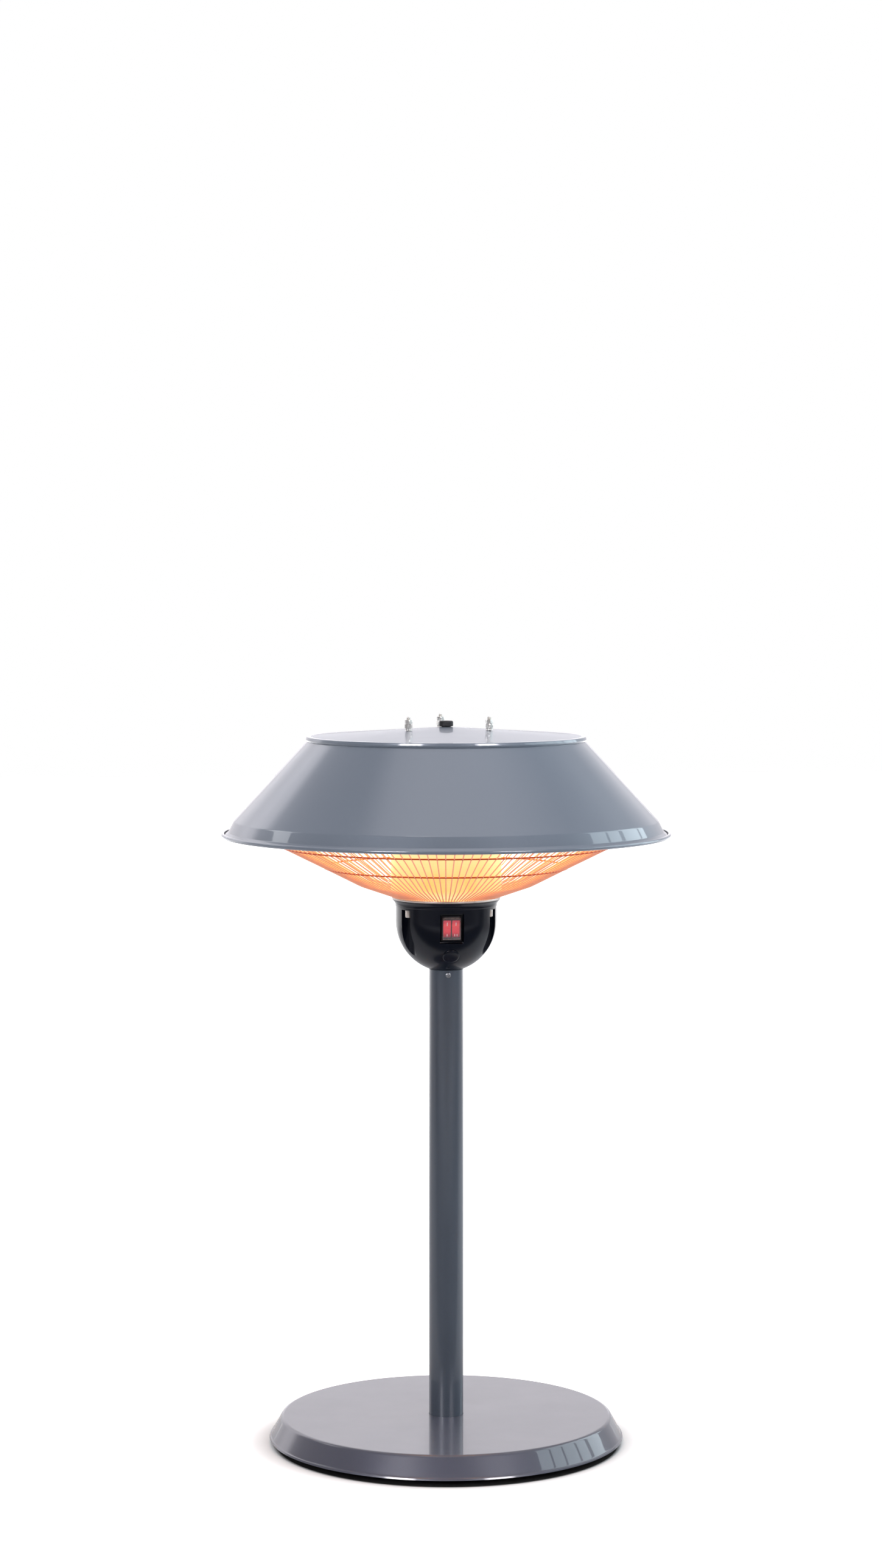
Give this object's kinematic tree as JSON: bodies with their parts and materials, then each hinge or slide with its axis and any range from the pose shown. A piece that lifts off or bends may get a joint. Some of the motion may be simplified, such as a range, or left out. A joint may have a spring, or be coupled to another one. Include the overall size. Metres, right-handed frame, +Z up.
{
  "type": "table-top electric heater",
  "caption": "Free-standing table-top halogen heater: weighted round base, straight pole, switch bowl, conical wire guard with lamps, and a wide spun steel hood.",
  "frame": {"origin": "on the floor, under the middle of the pole and base", "axes": "+Z up along the pole; the switch faces -Y and the cable grommet is at +Y"},
  "size_m": [0.5008, 0.4994, 0.807],
  "materials": {
    "hood_grey": "gloss powder coat",
    "gloss_black": "high gloss",
    "black_nylon": "satin",
    "rubber": "matte",
    "cement": "cast cement",
    "zinc": "zinc plated",
    "bright_steel": "bright plated",
    "polished_aluminium": "polished",
    "gold_mesh": "gold anodised, fine mesh texture",
    "hot_wire": "drawn wire under lamp light",
    "quartz": "clear",
    "glow": "lit tungsten",
    "ceramic": "unglazed",
    "red_lens": "translucent red",
    "clear_boot": "clear soft cover"
  },
  "bodies": {
    "heater": {"base_cover": "hood_grey", "base_plate": "zinc", "base_counterweight": "cement", "foot_1": "rubber", "foot_2": "rubber", "foot_3": "rubber", "foot_4": "rubber", "pole_flange": "zinc", "flange_bolt_1": "zinc", "flange_bolt_2": "zinc", "flange_bolt_3": "zinc", "cable_grommet": "rubber", "pole": "hood_grey", "pole_screw": "bright_steel", "bowl": "gloss_black", "blanking_plug": "gloss_black", "switch_body": "black_nylon", "switch_boot": "clear_boot", "tip_switch_case": "black_nylon", "lower_reflector": "polished_aluminium", "upper_reflector": "polished_aluminium", "drum": "gold_mesh", "wire_guard": "hot_wire", "wire_guard_inner": "hot_wire", "lamp_tube_1": "quartz", "lamp_tube_2": "quartz", "lamp_tube_3": "quartz", "lamp_filament_1": "glow", "lamp_filament_2": "glow", "lamp_filament_3": "glow", "lamp_cap_1a": "ceramic", "lamp_cap_1b": "ceramic", "lamp_cap_2a": "ceramic", "lamp_cap_2b": "ceramic", "lamp_cap_3a": "ceramic", "lamp_cap_3b": "ceramic", "lamp_bracket_1": "zinc", "lamp_bracket_2": "zinc", "lamp_bracket_3": "zinc", "tie_rod_1": "bright_steel", "tie_rod_2": "bright_steel", "tie_rod_3": "bright_steel", "top_nut_1": "bright_steel", "top_nut_2": "bright_steel", "top_nut_3": "bright_steel", "lock_nut_1": "bright_steel", "lock_nut_2": "bright_steel", "lock_nut_3": "bright_steel", "spring_washer_1": "zinc", "spring_washer_2": "zinc", "spring_washer_3": "zinc", "bottom_nut_1": "bright_steel", "bottom_nut_2": "bright_steel", "bottom_nut_3": "bright_steel", "hood_shell": "hood_grey", "hood_cap": "hood_grey", "centre_plug": "rubber"},
    "left_rocker": {"rocker_left": "red_lens"},
    "right_rocker": {"rocker_right": "red_lens"},
    "tip_pendulum": {"tip_switch_pendulum": "zinc"}
  },
  "joints": [
    {"name": "left_rocker_tilt", "type": "hinge", "parent": "heater", "child": "left_rocker", "pos_m": [-0.0049, -0.0458, 0.5747], "axis": [1, 0, 0], "range_deg": [-14, 0]},
    {"name": "right_rocker_tilt", "type": "hinge", "parent": "heater", "child": "right_rocker", "pos_m": [0.0049, -0.0458, 0.5747], "axis": [1, 0, 0], "range_deg": [-14, 0]},
    {"name": "tip_pendulum_swing", "type": "hinge", "parent": "heater", "child": "tip_pendulum", "pos_m": [-0.02, 0.008, 0.596], "axis": [1, 0, 0], "range_deg": [-30, 30]}
  ]
}
